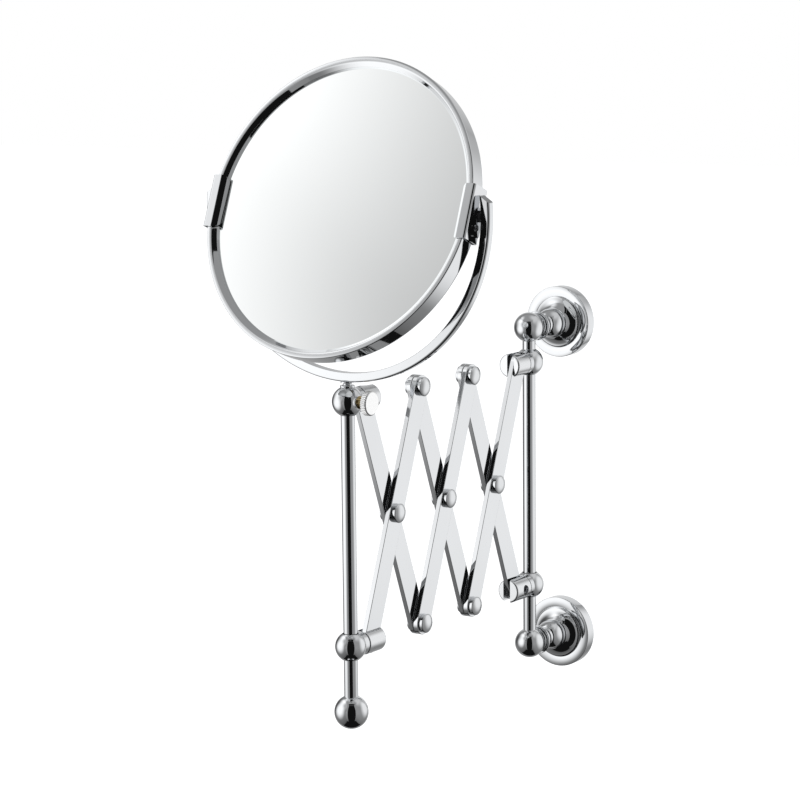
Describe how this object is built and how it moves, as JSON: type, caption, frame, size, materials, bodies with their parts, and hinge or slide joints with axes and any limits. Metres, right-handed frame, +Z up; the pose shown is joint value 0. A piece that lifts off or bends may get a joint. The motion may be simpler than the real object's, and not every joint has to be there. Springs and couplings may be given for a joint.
{
  "type": "extendable shaving mirror",
  "caption": "Wall-held double-sided round mirror in a half-ring yoke, on a lazy-tongs arm of flat links between a vertical rail on turned posts and a rod with a ball finial.",
  "frame": {"origin": "centre of the lower wall plate's back face", "axes": "+Y into the wall, -Y out into the room, +Z up, +X to the side of the rivet heads and the thumb screw"},
  "size_m": [0.238, 0.3457, 0.4867],
  "materials": {
    "chrome": "polished",
    "steel": "zinc plated",
    "brass": "bare machined",
    "nylon": "moulded",
    "mirror": "silvered glass"
  },
  "bodies": {
    "wall_fittings": {"wall_plate_lower": "steel", "wall_plate_upper": "steel", "rose_lower": "chrome", "rose_upper": "chrome", "rose_grub_screws": "steel", "post_lower": "chrome", "post_upper": "chrome", "rail_bushes": "nylon"},
    "rail": {"wall_rail": "chrome", "upper_wall_clevis": "chrome", "clevis_set_screw": "steel", "upper_wall_pin": "steel", "upper_wall_spacer": "nylon"},
    "rail_slider": {"lower_wall_clevis": "chrome", "lower_wall_bush": "nylon", "lower_wall_pin": "steel", "lower_wall_spacer": "nylon"},
    "rod_carrier": {"upper_rod_clevis": "chrome", "upper_rod_pin": "steel", "upper_rod_spacer": "nylon"},
    "rod_slider": {"lower_rod_clevis": "chrome", "lower_rod_bush": "nylon", "lower_rod_pin": "steel", "lower_rod_spacer": "nylon"},
    "clamp_tip": {"clamp_pad": "nylon"},
    "thumb_screw": {"clamp_screw": "brass", "clamp_knob": "chrome"},
    "mirror_stand": {"mirror_rod": "chrome", "finial": "chrome", "yoke_stem": "chrome", "yoke": "chrome", "pivot_pins": "steel"},
    "mirror_head": {"front_rim": "chrome", "mirror_case": "chrome", "plain_glass": "mirror", "magnifying_glass": "mirror", "glass_spacer": "steel", "left_clip": "chrome", "right_clip": "chrome", "pivot_brackets": "steel", "bracket_screws": "steel", "pivot_washers": "nylon"},
    "near_1": {"near_link_1": "chrome", "rivets_1": "chrome", "rivet_caps_1": "chrome", "rivet_washers_1": "nylon"},
    "far_1": {"far_link_1": "chrome"},
    "near_2": {"near_link_2": "chrome", "rivets_2": "chrome", "rivet_caps_2": "chrome", "rivet_washers_2": "nylon"},
    "far_2": {"far_link_2": "chrome"},
    "near_3": {"near_link_3": "chrome", "rivets_3": "chrome", "rivet_caps_3": "chrome", "rivet_washers_3": "nylon"},
    "far_3": {"far_link_3": "chrome"}
  },
  "joints": [
    {"name": "swing", "type": "hinge", "parent": "wall_fittings", "child": "rail", "pos_m": [0, -0.052, 0.124], "axis": [0, 0, 1], "range_deg": [-85, 85]},
    {"name": "extend", "type": "hinge", "parent": "rail", "child": "near_3", "pos_m": [0, -0.072, 0.2214], "axis": [-1, 0, 0], "range_deg": [-14.4, 33.8]},
    {"name": "cross_3", "type": "hinge", "parent": "near_3", "child": "far_3", "pos_m": [0, -0.1059, 0.13399], "axis": [-1, 0, 0], "range_deg": [-67.8, 29]},
    {"name": "top_2", "type": "hinge", "parent": "far_3", "child": "near_2", "pos_m": [0, -0.1398, 0.2214], "axis": [-1, 0, 0], "range_deg": [-29, 67.8]},
    {"name": "cross_2", "type": "hinge", "parent": "near_2", "child": "far_2", "pos_m": [0, -0.17371, 0.13399], "axis": [-1, 0, 0], "range_deg": [-67.8, 29]},
    {"name": "top_1", "type": "hinge", "parent": "far_2", "child": "near_1", "pos_m": [0, -0.20761, 0.2214], "axis": [-1, 0, 0], "range_deg": [-29, 67.8]},
    {"name": "cross_1", "type": "hinge", "parent": "near_1", "child": "far_1", "pos_m": [0, -0.24151, 0.13399], "axis": [-1, 0, 0], "range_deg": [-67.8, 29]},
    {"name": "carrier_pivot", "type": "hinge", "parent": "far_1", "child": "rod_carrier", "pos_m": [0, -0.27541, 0.2214], "axis": [-1, 0, 0], "range_deg": [-14.5, 33.9]},
    {"name": "rail_slider_pivot", "type": "hinge", "parent": "far_3", "child": "rail_slider", "pos_m": [0, -0.072, 0.04659], "axis": [-1, 0, 0], "range_deg": [-14.5, 33.9]},
    {"name": "rod_slider_pivot", "type": "hinge", "parent": "near_1", "child": "rod_slider", "pos_m": [0, -0.27541, 0.04659], "axis": [-1, 0, 0], "range_deg": [-33.9, 14.5]},
    {"name": "clamp_travel", "type": "slide", "parent": "rod_carrier", "child": "clamp_tip", "axis": [1, 0, 0], "range_m": [0, 0.00105]},
    {"name": "thumb_turn", "type": "hinge", "parent": "clamp_tip", "child": "thumb_screw", "pos_m": [0, -0.29541, 0.2214], "axis": [1, 0, 0], "range_deg": [0, 360]},
    {"name": "swivel", "type": "hinge", "parent": "rod_carrier", "child": "mirror_stand", "pos_m": [0, -0.29541, 0.2214], "axis": [0, 0, 1], "continuous": true},
    {"name": "tilt", "type": "hinge", "parent": "mirror_stand", "child": "mirror_head", "pos_m": [0, -0.29541, 0.35427], "axis": [1, 0, 0], "continuous": true}
  ],
  "couplings": [
    {"joint": "cross_3", "follows": "extend", "ratio": -2},
    {"joint": "top_2", "follows": "extend", "ratio": 2},
    {"joint": "cross_2", "follows": "extend", "ratio": -2},
    {"joint": "top_1", "follows": "extend", "ratio": 2},
    {"joint": "cross_1", "follows": "extend", "ratio": -2},
    {"joint": "carrier_pivot", "follows": "extend", "ratio": 1},
    {"joint": "rail_slider_pivot", "follows": "extend", "ratio": 1},
    {"joint": "rod_slider_pivot", "follows": "extend", "ratio": -1},
    {"joint": "clamp_travel", "follows": "thumb_turn", "m_per_rad": 0.00015915}
  ]
}
